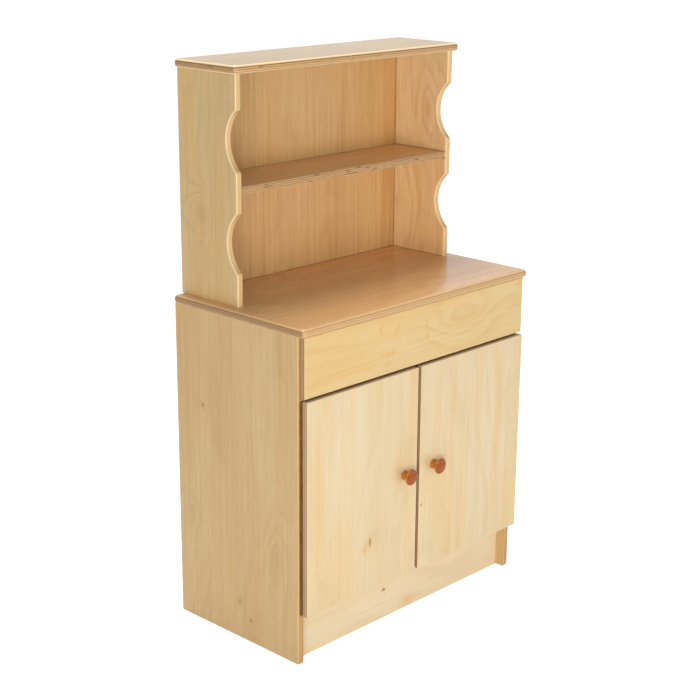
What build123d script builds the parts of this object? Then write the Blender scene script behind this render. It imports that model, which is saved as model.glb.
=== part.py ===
from build123d import *
import os

# A child's play-kitchen hutch in birch plywood: a two-door cupboard with an open, scalloped hutch on its countertop.
# Millimetres. +Z up, the doors face -Y, +X is to the right of someone facing the doors.
# The functions work in the case frame: x = 0 midway between the sides, y = 0 at the sides' front edges, z = 0 on the
# floor. The last lines move everything so that the origin is the middle of the whole object's footprint.

# Panels
ply = 13.0                  # the birch plywood panels
top_ply = 16.0              # the countertop and the hutch top
back_ply = 6.0              # the two thin backs
back_recess = 9.5           # the backs stand this far inside the rear edges
housing_depth = 5.0         # grooves and rebates cut into the sides
housing_play = 0.1          # clearance on each face of a housed panel
edge_round = 3.5            # router round-over on exposed edges
inner_round = 1.5           # eased inner arrises
door_round = 2.0            # eased arrises of doors and apron

# Cabinet
case_width = 610.0
case_depth = 322.5
case_height = 622.0
foot_round = 5.0            # bottom front corner of each side, seen from the side
toe_height = 91.0
toe_recess = 21.5
toe_block_size = 18.0
toe_block_height = 72.0
shelf_setback = 4.0
rail_thickness = 19.0       # solid birch rails
front_rail_height = 100.0
rear_rail_height = 80.0
cleat_size = 20.0
cleat_end_gap = 6.0

# Apron and doors
apron_height = 111.0
apron_side_inset = 2.7
apron_door_gap = 4.1
door_floor_lap = 5.7        # the doors cover this much of the cabinet floor's front edge
door_side_inset = 4.2
door_meeting_gap = 7.6
door_meeting_x = -5.8       # the doors meet a little left of the middle, so the left one is narrower

# Countertop and hutch
counter_side_overhang = 5.8
counter_front_overhang = 5.0     # past the apron's face
counter_corner = 6.0
hutch_inset = 18.0          # hutch sides in from the case's outer faces
hutch_depth = 153.0
hutch_height = 411.0
hutch_shelf_height = 200.5  # countertop to the underside of the hutch shelf
hutch_shelf_setback = 6.0
scallop_span = 108.5
scallop_depth = 26.3
scallop_bottom_land = 59.2
scallop_middle_land = 73.3
scallop_corner = 6.0
slab_side_overhang = 10.0
slab_front_overhang = 8.3
slab_corner = 6.0

# Continuous hinge, one per door
hinge_gap = 5.0             # door back to the sides' front edges
hinge_side_inset = 2.2      # barrel in from the case's outer face
hinge_leaf_thickness = 0.9
hinge_leaf_width = 8.1      # from the pin axis
hinge_barrel_play = 0.3     # barrel to the wood and to the other leaf
hinge_pin_diameter = 2.4
hinge_pin_clearance = 0.05  # radial
hinge_knuckle_count = 11
hinge_knuckle_gap = 0.3
hinge_end_inset = 2.0       # hinge ends inside the door's ends
hinge_screws_per_bay = 2   # on each leaf, below the inner shelf and again above it
hinge_screw_shank = 2.2
hinge_screw_head = 3.8
hinge_screw_length = 11.0

# Magnetic catch, one per door
catch_offset = 95.0         # centre of each catch from the middle of the case
catch_width = 46.0
catch_block_width = 30.0
catch_block_height = 13.0
catch_ear_height = 3.0
catch_ear_depth = 9.0
catch_corner = 1.2
catch_ear_corner = 2.5
catch_screw_spacing = 38.0
catch_screw_setback = 6.0   # behind the shelf's front edge
catch_screw_shank = 2.5
catch_screw_head = 5.0
catch_screw_grip = 9.0      # length in the shelf
magnet_width = 22.0
magnet_height = 7.0
magnet_depth = 9.0
magnet_proud = 0.6
pole_thickness = 1.4
pole_proud = 1.0            # the poles stand this far in front of the magnet
strike_width = 36.0
strike_height = 12.0
strike_thickness = 1.0
strike_gap = 0.3
strike_screw_head = 4.3
strike_screw_grip = 8.0     # length in the door

# Knobs
knob_middle_x = -3.9        # midway between the two knobs
knob_offset = 41.2          # from there to each knob
knob_height = 304.0
knob_diameter = 31.0
knob_base_diameter = 19.0
knob_neck_diameter = 15.0
knob_reach = 21.5           # door face to the crown of the knob
knob_rim_thickness = 4.5
knob_base_edge = 1.0
knob_crown = 2.0
knob_screw_depth = 12.0
knob_screw_shank = 4.0
knob_screw_head = 8.0
knob_screw_head_height = 2.4

# Fasteners
dowel_diameter = 8.0
dowel_length = 26.0
dowel_depth_in_side = 8.0
top_dowel_diameter = 6.0
top_dowel_length = 24.0
top_dowel_depth_in_slab = 7.5
rail_dowel_inset = 22.0     # from the rails' upper and lower edges
top_dowel_front_inset = 28.0
top_dowel_rear_inset = 22.0
case_screw_shank = 3.5
case_screw_head = 7.0
case_screw_skin = 4.0       # wood left in front of the tips
apron_screw_spread = (90.0, 235.0)
cleat_screw_inset = 40.0
hutch_screw_grip = 28.0     # length in the hutch side
hutch_screw_front_inset = 40.0
hutch_screw_rear_inset = 12.0
back_screw_shank = 2.5
back_screw_head = 5.0
back_screw_grip = 16.0      # length in the wood behind the thin back
back_screw_spread = 0.6     # from the middle, as a share of the half width inside
bore_play = 0.1             # radial clearance of every screw and dowel bore
bore_end_gap = 0.4          # screw tips stop this far above the bottom of their bores

half_width = case_width / 2
inner_half = half_width - ply
counter_top = case_height + top_ply
back_front = case_depth - back_recess - back_ply
apron_front = -ply
apron_bottom = case_height - apron_height
door_back = -hinge_gap
door_front = door_back - ply
door_bottom = toe_height + ply - door_floor_lap
door_top = apron_bottom - apron_door_gap
door_height = door_top - door_bottom
floor_top = toe_height + ply
shelf_bottom = (floor_top + apron_bottom - ply) / 2
hutch_half = half_width - hutch_inset
hutch_inner = hutch_half - ply
hutch_front = case_depth - hutch_depth
hutch_top_z = counter_top + hutch_height
hutch_shelf_bottom = counter_top + hutch_shelf_height
barrel_radius = hinge_gap / 2 - hinge_barrel_play
pin_x = half_width - hinge_side_inset - barrel_radius
pin_y = -hinge_gap / 2
hinge_length = door_height - 2 * hinge_end_inset
leaf_strip_start = barrel_radius + hinge_barrel_play
leaf_screw_offset = (leaf_strip_start + hinge_leaf_width) / 2
rail_y = rail_thickness / 2
rear_rail_y = back_front - rail_thickness / 2
cleat_front = rail_thickness + cleat_end_gap
cleat_back = back_front - rail_thickness - cleat_end_gap
cleat_bottom = case_height - cleat_size
cleat_screw_length = cleat_size + ply - case_screw_skin
hutch_screw_y = (hutch_front + hutch_screw_front_inset, cleat_back - hutch_screw_rear_inset)
counter_screw_y = (cleat_front + hutch_front) / 2
cleat_screw_y = (cleat_front + cleat_screw_inset, cleat_back - cleat_screw_inset)
catch_z = shelf_bottom - catch_block_height / 2
strike_back = door_back + strike_thickness
catch_face = strike_back + strike_gap + magnet_proud
catch_screw_y = shelf_setback + catch_screw_setback
catch_back = catch_screw_y + catch_ear_depth / 2


def block(x0, x1, y0, y1, z0, z1):
    """A box between two corners."""
    size = Box(x1 - x0, y1 - y0, z1 - z0, align=(Align.MIN, Align.MIN, Align.MIN))
    return Pos(x0, y0, z0) * size


def rod(start, direction, length, radius):
    """A plain cylinder from a point along a direction."""
    return Plane(origin=start, z_dir=direction) * extrude(Circle(radius), length)


def countersunk_screw(start, direction, length, shank, head):
    """A flat-head screw: its head's face is at start and its shank runs along the direction."""
    head_depth = (head - shank) / 2
    body = Cylinder(shank / 2, length, align=(Align.CENTER, Align.CENTER, Align.MIN))
    cone = Cone(head / 2, shank / 2, head_depth, align=(Align.CENTER, Align.CENTER, Align.MIN))
    return Plane(origin=start, z_dir=direction) * (body + cone)


def screw_bore(start, direction, length, shank, head):
    """The hole that a countersunk screw leaves in what it passes through, with clearance."""
    return countersunk_screw(start, direction, length + bore_end_gap, shank + 2 * bore_play, head + 2 * bore_play)


def mirrored(shape):
    return mirror(shape, about=Plane.YZ)


def round_front(panel, outer_x, inner_x, outer_radius, inner_radius, rear_limit):
    """Rounds the two arrises along a side panel's front outline, up to rear_limit."""
    for x, radius in ((outer_x, outer_radius), (inner_x, inner_radius)):
        arris = [e for e in panel.edges() if abs(e.center().X - x) < 0.01 and e.center().Y < rear_limit
                 and abs(e.tangent_at(0.5).X) < 0.01]
        panel = fillet(arris, radius)
    return panel


def hinge_screw_heights():
    """Evenly spaced in each of the two bays, so that none meets the inner shelf's housing."""
    heights = []
    for low, high in ((door_bottom + hinge_end_inset, shelf_bottom), (shelf_bottom + ply, door_top - hinge_end_inset)):
        pitch = (high - low) / hinge_screws_per_bay
        heights += [low + (i + 0.5) * pitch for i in range(hinge_screws_per_bay)]
    return heights


def frame_hinge_screws(make):
    """The left hinge's screws into the side panel's front edge."""
    x = -pin_x + leaf_screw_offset
    return [make((x, -hinge_leaf_thickness, z), (0, 1, 0), hinge_screw_length, hinge_screw_shank, hinge_screw_head)
            for z in hinge_screw_heights()]


def door_hinge_screws(make):
    """The left hinge's screws into the door's back."""
    x = -pin_x + leaf_screw_offset
    y = door_back + hinge_leaf_thickness
    return [make((x, y, z), (0, -1, 0), hinge_screw_length, hinge_screw_shank, hinge_screw_head)
            for z in hinge_screw_heights()]


def rail_dowels(play=0.0):
    """Left-hand dowels that join the front and rear rails to the side panel, or their bores."""
    length = dowel_length + 2 * play
    start_x = -inner_half - dowel_depth_in_side - play
    heights = ((rail_y, case_height - front_rail_height), (rear_rail_y, case_height - rear_rail_height))
    return [rod((start_x, y, z), (1, 0, 0), length, dowel_diameter / 2 + play)
            for y, bottom in heights for z in (bottom + rail_dowel_inset, case_height - rail_dowel_inset)]


def slab_dowels(play=0.0):
    """Left-hand dowels between the hutch side and the slab above it, or their bores."""
    x = -hutch_half + ply / 2
    z = hutch_top_z + top_dowel_depth_in_slab + play
    return [rod((x, y, z), (0, 0, -1), top_dowel_length + 2 * play, top_dowel_diameter / 2 + play)
            for y in (hutch_front + top_dowel_front_inset, back_front - top_dowel_rear_inset)]


def cleat_screws(make):
    """Left-hand screws from the cleat into the side panel."""
    z = case_height - cleat_size * 0.4
    return [make((-inner_half + cleat_size, y, z), (-1, 0, 0), cleat_screw_length, case_screw_shank, case_screw_head)
            for y in cleat_screw_y]


def counter_screws(make):
    """The left-hand screw up through the cleat into the countertop."""
    start = (-inner_half + cleat_size / 2, counter_screw_y, cleat_bottom)
    length = cleat_size + top_ply - case_screw_skin
    return [make(start, (0, 0, 1), length, case_screw_shank, case_screw_head)]


def hutch_screws(make):
    """Left-hand screws up through cleat and countertop into the hutch side."""
    x = -hutch_half + ply / 2
    length = cleat_size + top_ply + hutch_screw_grip
    return [make((x, y, cleat_bottom), (0, 0, 1), length, case_screw_shank, case_screw_head)
            for y in hutch_screw_y]


def apron_screws(make):
    """Screws from the back of the front rail into the apron."""
    z = case_height - front_rail_height / 2
    length = rail_thickness + ply - case_screw_skin
    return [make((sign * x, rail_thickness, z), (0, -1, 0), length, case_screw_shank, case_screw_head)
            for sign in (-1, 1) for x in apron_screw_spread]


def back_screws(make, z, half):
    """A row of two screws through a thin back."""
    length = back_ply + back_screw_grip
    return [make((x, case_depth - back_recess, z), (0, -1, 0), length, back_screw_shank, back_screw_head)
            for x in (-half * back_screw_spread, half * back_screw_spread)]


def cabinet_back_screws(make):
    """Screws through the cabinet back into floor, shelf and rear rail."""
    rows = (toe_height + ply / 2, shelf_bottom + ply / 2, case_height - rear_rail_height / 2)
    return [screw for z in rows for screw in back_screws(make, z, inner_half)]


def hutch_back_screws(make):
    """Screws through the hutch back into the hutch shelf's rear edge."""
    return back_screws(make, hutch_shelf_bottom + ply / 2, hutch_inner)


# ---- cabinet ----
def side_panel():
    """The left side: housings for floor and shelf, a rear rebate for the back, and a rounded front edge."""
    outline = Rectangle(case_depth, case_height, align=(Align.MIN, Align.MIN))
    foot = outline.vertices().sort_by(Axis.Y)[:2].sort_by(Axis.X)[0]
    outline = fillet(foot, foot_round)
    panel = Pos(-half_width, 0, 0) * extrude(Plane.YZ * outline, ply)
    panel = round_front(panel, -half_width, -inner_half, edge_round, inner_round, foot_round * 2)
    groove = -inner_half - housing_depth
    deep = housing_play
    cuts = [
        block(groove - deep, 0, -1, back_front + 1, toe_height - deep, floor_top + deep),
        block(groove - deep, 0, shelf_setback - deep, back_front + 1, shelf_bottom - deep, shelf_bottom + ply + deep),
        block(groove - deep, 0, back_front, case_depth + 1, toe_height - deep, case_height + 1),
    ]
    panel -= cuts + rail_dowels(bore_play) + frame_hinge_screws(screw_bore) + cleat_screws(screw_bore)
    return panel


def cabinet_floor():
    reach = inner_half + housing_depth
    floor = block(-reach, reach, 0, back_front, toe_height, floor_top)
    return floor - cabinet_back_screws(screw_bore)


def cabinet_shelf():
    reach = inner_half + housing_depth
    shelf = block(-reach, reach, shelf_setback, back_front, shelf_bottom, shelf_bottom + ply)
    front = shelf.edges().filter_by(Axis.X).sort_by(Axis.Y)[:2]
    shelf = fillet(front, inner_round)
    return shelf - cabinet_back_screws(screw_bore) - both_sides(catch_screws, screw_bore)


def cabinet_back():
    reach = inner_half + housing_depth
    panel = block(-reach, reach, back_front, back_front + back_ply, toe_height, case_height)
    return panel - cabinet_back_screws(screw_bore)


def toe_kick():
    return block(-inner_half, inner_half, toe_recess, toe_recess + ply, 0, toe_height)


def toe_kick_blocks():
    """Square glue blocks in the corners behind the toe-kick."""
    back = toe_recess + ply
    left = block(-inner_half, -inner_half + toe_block_size, back, back + toe_block_size,
                 toe_height - toe_block_height, toe_height)
    return [left, mirrored(left)]


def front_rail():
    rail = block(-inner_half, inner_half, 0, rail_thickness, case_height - front_rail_height, case_height)
    return rail - both_sides(rail_dowels, bore_play) - apron_screws(screw_bore)


def rear_rail():
    rail = block(-inner_half, inner_half, back_front - rail_thickness, back_front,
                 case_height - rear_rail_height, case_height)
    return rail - both_sides(rail_dowels, bore_play) - cabinet_back_screws(screw_bore)


def top_cleat():
    """The left cleat under the countertop."""
    cleat = block(-inner_half, -inner_half + cleat_size, cleat_front, cleat_back, cleat_bottom, case_height)
    lower = cleat.edges().filter_by(Axis.Y).sort_by(Axis.Z)[:2].sort_by(Axis.X)[-1]
    cleat = chamfer(lower, inner_round)
    return cleat - cleat_screws(screw_bore) - counter_screws(screw_bore) - hutch_screws(screw_bore)


def front_apron():
    """The fixed false drawer front."""
    reach = half_width - apron_side_inset
    apron = block(-reach, reach, apron_front, 0, apron_bottom, case_height)
    eased = apron.edges().group_by(Axis.Y)[0] + apron.edges().filter_by(Axis.Z)
    apron = fillet(list(set(eased)), door_round)
    return apron - apron_screws(screw_bore)


def rounded_slab(width, front, bottom, corner):
    """A top board with rounded corners and round-over arrises all round."""
    with BuildSketch(Plane.XY.offset(bottom)) as outline:
        with Locations((0, (front + case_depth) / 2)):
            RectangleRounded(width, case_depth - front, corner)
    slab = extrude(outline.sketch, top_ply)
    rims = slab.faces().sort_by(Axis.Z)
    return fillet(rims[0].edges() + rims[-1].edges(), edge_round)


def countertop():
    width = case_width + 2 * counter_side_overhang
    top = rounded_slab(width, apron_front - counter_front_overhang, case_height, counter_corner)
    return top - both_sides(counter_screws, screw_bore) - both_sides(hutch_screws, screw_bore)


# ---- hutch ----
def hutch_side_outline():
    """The hutch side seen from its own side, X to the rear and Y up: three straight lands with two arcs between."""
    front = hutch_front
    low = counter_top + scallop_bottom_land
    high = low + scallop_span + scallop_middle_land
    with BuildSketch() as outline:
        with BuildLine():
            for start in (low, high):
                middle = (front + scallop_depth, start + scallop_span / 2)
                ThreePointArc((front, start), middle, (front, start + scallop_span))
            Line((front, low + scallop_span), (front, high))
            Polyline((front, high + scallop_span), (front, hutch_top_z), (case_depth, hutch_top_z),
                     (case_depth, counter_top), (front, counter_top), (front, low))
        make_face()
        ends = (low, low + scallop_span, high, high + scallop_span)
        corners = [v for v in outline.vertices() if v.X < front + 1 and any(abs(v.Y - end) < 0.01 for end in ends)]
        fillet(corners, scallop_corner)
    return outline.sketch


def hutch_side():
    """The left hutch side with its stopped shelf housing and rear rebate."""
    panel = Pos(-hutch_half, 0, 0) * extrude(Plane.YZ * hutch_side_outline(), ply)
    panel = round_front(panel, -hutch_half, -hutch_inner, edge_round, edge_round, hutch_front + scallop_depth + 1)
    groove = -hutch_inner - housing_depth - housing_play
    shelf_front = hutch_front + hutch_shelf_setback
    cuts = [
        block(groove, 0, shelf_front - housing_play, back_front + 1, hutch_shelf_bottom - housing_play,
              hutch_shelf_bottom + ply + housing_play),
        block(groove, 0, back_front, case_depth + 1, counter_top - 1, hutch_top_z + 1),
    ]
    return panel - (cuts + slab_dowels(bore_play) + hutch_screws(screw_bore))


def hutch_shelf():
    reach = hutch_inner + housing_depth
    front = hutch_front + hutch_shelf_setback
    shelf = block(-reach, reach, front, back_front, hutch_shelf_bottom, hutch_shelf_bottom + ply)
    arrises = shelf.edges().filter_by(Axis.X).sort_by(Axis.Y)[:2]
    shelf = fillet(arrises, inner_round)
    return shelf - hutch_back_screws(screw_bore)


def hutch_back():
    reach = hutch_inner + housing_depth
    panel = block(-reach, reach, back_front, back_front + back_ply, counter_top, hutch_top_z)
    return panel - hutch_back_screws(screw_bore)


def hutch_top():
    width = 2 * (hutch_half + slab_side_overhang)
    slab = rounded_slab(width, hutch_front - slab_front_overhang, hutch_top_z, slab_corner)
    return slab - both_sides(slab_dowels, bore_play)


# ---- doors ----
def door(side):
    """One door: side is -1 for the left and 1 for the right."""
    outer = side * (half_width - door_side_inset)
    inner = door_meeting_x + side * door_meeting_gap / 2
    panel = block(min(outer, inner), max(outer, inner), door_front, door_back, door_bottom, door_top)
    panel = fillet(panel.edges(), door_round)
    bores = door_hinge_screws(screw_bore) + strike_screw(screw_bore)
    if side > 0:
        bores = [mirrored(bore) for bore in bores]
    return panel - (bores + knob_screw(side, bore_play))


def hinge_leaf(board_side, own_knuckles):
    """One leaf of the left hinge about a pin at the origin: a barrel of alternate knuckles curled from a plate.

    board_side is +1 for the leaf on the side panel and -1 for the one on the door.
    """
    pitch = hinge_length / hinge_knuckle_count
    board = board_side * hinge_gap / 2
    plate_y = sorted((board, board - board_side * hinge_leaf_thickness))
    strip = block(leaf_strip_start, hinge_leaf_width, *plate_y, 0, hinge_length)
    free_corners = strip.edges().filter_by(Axis.Y).sort_by(Axis.X)[-2:]
    leaf = fillet(free_corners, hinge_leaf_thickness)
    tab_y = sorted((plate_y[0 if board_side > 0 else 1], board_side * barrel_radius))
    with BuildSketch() as section:
        Circle(barrel_radius)
        with Locations((leaf_strip_start / 2, sum(tab_y) / 2)):
            Rectangle(leaf_strip_start, tab_y[1] - tab_y[0])
        Circle(hinge_pin_diameter / 2 + hinge_pin_clearance, mode=Mode.SUBTRACT)
    knuckle = extrude(section.sketch, pitch - hinge_knuckle_gap)
    for i in own_knuckles:
        leaf += Pos(0, 0, i * pitch + hinge_knuckle_gap / 2) * knuckle
    return leaf


def place_hinge(shape):
    return Pos(-pin_x, pin_y, door_bottom + hinge_end_inset) * shape


def hinge_frame_leaf():
    leaf = place_hinge(hinge_leaf(1, range(0, hinge_knuckle_count, 2)))
    return leaf - frame_hinge_screws(screw_bore)


def hinge_door_leaf():
    leaf = place_hinge(hinge_leaf(-1, range(1, hinge_knuckle_count, 2)))
    return leaf - door_hinge_screws(screw_bore)


def hinge_pin():
    return place_hinge(rod((0, 0, hinge_knuckle_gap), (0, 0, 1), hinge_length - 2 * hinge_knuckle_gap,
                           hinge_pin_diameter / 2))


def knob_profile():
    """Half the knob's section: a flared base, a waisted neck, a crowned head and the screw's bore.

    X is the radius and Y the reach from the door.
    """
    rim = knob_diameter / 2
    base = knob_base_diameter / 2
    neck = knob_neck_diameter / 2
    head_edge = knob_reach - knob_crown
    head_back = head_edge - knob_rim_thickness
    bore = knob_screw_shank / 2 + bore_play
    bore_end = knob_screw_depth + bore_end_gap
    lip = knob_rim_thickness * 0.4
    with BuildSketch() as profile:
        with BuildLine():
            Polyline((bore, 0), (base, 0), (base, knob_base_edge))
            ThreePointArc((base, knob_base_edge), (neck, head_back * 0.5), (rim - lip, head_back))
            ThreePointArc((rim - lip, head_back), (rim, (head_back + head_edge) / 2), (rim - lip, head_edge))
            TangentArc((0, knob_reach), (rim - lip, head_edge), tangent=(1, 0))
            Polyline((0, knob_reach), (0, bore_end), (bore, bore_end), (bore, 0))
        make_face()
    return profile.sketch


def knob(side):
    """One knob, turned in one piece."""
    turned = revolve(knob_profile(), Axis.Y)
    return Pos(knob_middle_x + side * knob_offset, door_front, knob_height) * (Rot(180, 0, 0) * turned)


def knob_screw(side, play=0.0):
    """A pan-head screw from the door's back into the knob, or its bore."""
    start = (knob_middle_x + side * knob_offset, door_back, knob_height)
    length = ply + knob_screw_depth + (bore_end_gap if play else 0)
    shank = rod(start, (0, -1, 0), length, knob_screw_shank / 2 + play)
    if play:
        return [shank]
    return [rod(start, (0, 1, 0), knob_screw_head_height, knob_screw_head / 2) + shank]


# ---- magnetic catches ----
def catch_housing():
    """The left catch: a moulded block with an ear each side and a pocket for its magnet."""
    x = -catch_offset
    half = catch_block_width / 2
    body = block(x - half, x + half, catch_face, catch_back, shelf_bottom - catch_block_height, shelf_bottom)
    body = fillet(body.edges().filter_by(Axis.Z), catch_corner)
    ears = block(x - catch_width / 2, x + catch_width / 2, catch_back - catch_ear_depth, catch_back,
                 shelf_bottom - catch_ear_height, shelf_bottom)
    ears = fillet(ears.edges().filter_by(Axis.Z), catch_ear_corner)
    pocket = block(x - magnet_width / 2 - bore_play, x + magnet_width / 2 + bore_play, catch_face - 1,
                   catch_face + magnet_depth - magnet_proud + bore_play,
                   catch_z - magnet_height / 2 - bore_play, catch_z + magnet_height / 2 + bore_play)
    return body + ears - pocket - catch_screws(screw_bore)


def catch_magnet():
    """The left catch's magnet between its two steel pole plates, a little proud of the housing."""
    x = -catch_offset
    front = catch_face - magnet_proud
    half = magnet_width / 2
    low = catch_z - magnet_height / 2
    high = catch_z + magnet_height / 2
    magnet = block(x - half, x + half, front + pole_proud, front + magnet_depth,
                   low + pole_thickness, high - pole_thickness)
    poles = [block(x - half, x + half, front, front + magnet_depth, z, z + pole_thickness)
             for z in (low, high - pole_thickness)]
    return [magnet] + poles


def catch_screws(make):
    z = shelf_bottom - catch_ear_height
    length = catch_ear_height + catch_screw_grip
    return [make((side * catch_screw_spacing / 2 - catch_offset, catch_screw_y, z), (0, 0, 1), length,
                 catch_screw_shank, catch_screw_head) for side in (-1, 1)]


def strike_plate():
    """The left door's steel strike, opposite the magnet."""
    x = -catch_offset
    plate = block(x - strike_width / 2, x + strike_width / 2, door_back, strike_back,
                  catch_z - strike_height / 2, catch_z + strike_height / 2)
    plate = fillet(plate.edges().filter_by(Axis.Y), strike_height / 4)
    return plate - strike_screw(screw_bore)


def strike_screw(make):
    return [make((-catch_offset, strike_back, catch_z), (0, -1, 0), strike_thickness + strike_screw_grip,
                 catch_screw_shank, strike_screw_head)]


def both_sides(maker, argument):
    """A left-hand list of solids and its mirror image."""
    left = maker(argument)
    return left + [mirrored(solid) for solid in left]


nodes = {
    "cabinet_floor": cabinet_floor(),
    "cabinet_shelf": cabinet_shelf(),
    "cabinet_back": cabinet_back(),
    "toe_kick": toe_kick(),
    "toe_kick_blocks": toe_kick_blocks(),
    "front_rail": front_rail(),
    "rear_rail": rear_rail(),
    "front_apron": front_apron(),
    "countertop": countertop(),
    "hutch_shelf": hutch_shelf(),
    "hutch_back": hutch_back(),
    "hutch_top": hutch_top(),
    "rail_dowels": both_sides(rail_dowels, 0.0),
    "hutch_top_dowels": both_sides(slab_dowels, 0.0),
    "apron_screws": apron_screws(countersunk_screw),
    "cleat_screws": both_sides(cleat_screws, countersunk_screw),
    "countertop_screws": both_sides(counter_screws, countersunk_screw),
    "hutch_screws": both_sides(hutch_screws, countersunk_screw),
    "cabinet_back_screws": cabinet_back_screws(countersunk_screw),
    "hutch_back_screws": hutch_back_screws(countersunk_screw),
    "catch_screws": both_sides(catch_screws, countersunk_screw),
}

handed = {
    "side_panel": side_panel(),
    "top_cleat": top_cleat(),
    "hutch_side": hutch_side(),
    "hinge_frame_leaf": hinge_frame_leaf(),
    "hinge_door_leaf": hinge_door_leaf(),
    "hinge_pin": hinge_pin(),
    "hinge_frame_screws": frame_hinge_screws(countersunk_screw),
    "hinge_door_screws": door_hinge_screws(countersunk_screw),
    "catch_housing": catch_housing(),
    "catch_magnet": catch_magnet(),
    "strike_plate": strike_plate(),
    "strike_screw": strike_screw(countersunk_screw),
}
for name, left in handed.items():
    solids = left if isinstance(left, list) else [left]
    nodes["left_" + name] = solids
    nodes["right_" + name] = [mirrored(solid) for solid in solids]
for name, side in (("left", -1), ("right", 1)):
    nodes[name + "_door"] = door(side)
    nodes[name + "_knob"] = knob(side)
    nodes[name + "_knob_screw"] = knob_screw(side)

# The origin goes to the middle of the footprint, from the knobs' crowns to the backs of the sides.
footprint_middle = (case_depth + door_front - knob_reach) / 2
to_origin = Pos(0, -footprint_middle, 0)
os.makedirs("parts", exist_ok=True)
for name, shape in nodes.items():
    solids = shape if isinstance(shape, list) else [shape]
    parts = [to_origin * solid for solid in solids]
    export_step(Compound([s for part in parts for s in part.solids()]), f"parts/{name}.step")
print("pin axis", round(pin_x, 3), round(pin_y - footprint_middle, 3), "case front", round(-footprint_middle, 3))
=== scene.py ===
import math
import bpy
import bmesh
from mathutils import Matrix, Vector


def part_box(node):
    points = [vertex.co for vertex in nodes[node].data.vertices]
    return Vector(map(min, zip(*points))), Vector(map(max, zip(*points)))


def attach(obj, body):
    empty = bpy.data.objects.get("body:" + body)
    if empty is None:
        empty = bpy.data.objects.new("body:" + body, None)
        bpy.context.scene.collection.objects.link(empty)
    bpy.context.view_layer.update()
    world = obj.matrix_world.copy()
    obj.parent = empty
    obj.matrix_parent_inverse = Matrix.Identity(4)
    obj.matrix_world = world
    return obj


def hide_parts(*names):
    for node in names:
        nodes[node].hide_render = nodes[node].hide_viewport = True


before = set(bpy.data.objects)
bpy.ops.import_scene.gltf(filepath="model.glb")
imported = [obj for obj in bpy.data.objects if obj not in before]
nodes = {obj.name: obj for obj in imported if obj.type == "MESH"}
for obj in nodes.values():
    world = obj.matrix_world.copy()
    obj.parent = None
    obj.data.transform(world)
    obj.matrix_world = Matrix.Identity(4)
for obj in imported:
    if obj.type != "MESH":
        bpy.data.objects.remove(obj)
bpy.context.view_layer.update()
scene = bpy.context.scene


# helpers that add nodes to a node tree

def feed(tree, value, socket):
    # links another node's output, or sets a plain number or colour
    if isinstance(value, bpy.types.NodeSocket):
        tree.links.new(value, socket)
    else:
        socket.default_value = value


def feedAll(tree, sockets, values):
    for socketName, value in values.items():
        feed(tree, value, sockets[socketName])


def calc(tree, operation, *values, clamp=False):
    node = tree.nodes.new("ShaderNodeMath")
    node.operation = operation
    node.use_clamp = clamp
    for value, socket in zip(values, node.inputs):
        feed(tree, value, socket)
    return node.outputs[0]


def times(tree, first, second):
    return calc(tree, "MULTIPLY", first, second)


def soften(tree, value, low, high, start=0.0, end=1.0):
    # smooth step: start at low, end at high
    node = tree.nodes.new("ShaderNodeMapRange")
    node.interpolation_type = "SMOOTHSTEP"
    feedAll(tree, node.inputs, {
        "Value": value, "From Min": low, "From Max": high, "To Min": start, "To Max": end})
    return node.outputs[0]


def blendColour(tree, factor, first, second, mode="MIX"):
    node = tree.nodes.new("ShaderNodeMix")
    node.data_type = "RGBA"
    node.blend_type = mode
    node.clamp_factor = True
    feed(tree, factor, node.inputs[0])
    feed(tree, first, node.inputs[6])   # A and B of a colour mix
    feed(tree, second, node.inputs[7])
    return node.outputs[2]


def stain(tree, colour, mask, amount, tone):
    # lays a tone over the colour where the mask is
    return blendColour(tree, times(tree, mask, amount), colour, tone)


def joinAxes(tree, x, y, z):
    node = tree.nodes.new("ShaderNodeCombineXYZ")
    for value, socket in zip((x, y, z), node.inputs):
        feed(tree, value, socket)
    return node.outputs[0]


def splitAxes(tree, vector):
    node = tree.nodes.new("ShaderNodeSeparateXYZ")
    feed(tree, vector, node.inputs[0])
    return node.outputs


def scaleVector(tree, vector, amount):
    node = tree.nodes.new("ShaderNodeVectorMath")
    node.operation = "SCALE"
    feedAll(tree, node.inputs, {0: vector, "Scale": amount})
    return node.outputs[0]


def noise(tree, vector, detail=2.0, roughness=0.5):
    # one cell for each unit of the vector
    node = tree.nodes.new("ShaderNodeTexNoise")
    feedAll(tree, node.inputs, {"Vector": vector, "Scale": 1.0, "Detail": detail, "Roughness": roughness})
    return node.outputs[0]


def newGroup(name, inputs, outputs):
    # inputs have their default, where None stands for a vector; all outputs are plain numbers
    group = bpy.data.node_groups.new(name, "ShaderNodeTree")
    for socketName, default in inputs.items():
        kind = "NodeSocketVector" if default is None else "NodeSocketFloat"
        socket = group.interface.new_socket(socketName, in_out="INPUT", socket_type=kind)
        if default is not None:
            socket.default_value = default
    for socketName in outputs:
        group.interface.new_socket(socketName, in_out="OUTPUT", socket_type="NodeSocketFloat")
    start = group.nodes.new("NodeGroupInput")
    finish = group.nodes.new("NodeGroupOutput")
    return group, start.outputs, finish.inputs


def useGroup(tree, group, values):
    node = tree.nodes.new("ShaderNodeGroup")
    node.node_tree = group
    feedAll(tree, node.inputs, values)
    return node.outputs


def rgb(red, green, blue):
    # screen colour, 0 to 255, to a linear colour by the standard screen curve
    def linear(level):
        level /= 255
        return level / 12.92 if level <= 0.04045 else ((level + 0.055) / 1.055) ** 2.4
    return (linear(red), linear(green), linear(blue), 1.0)


# shared effects, which give masks and values that each material colours for itself

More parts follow.
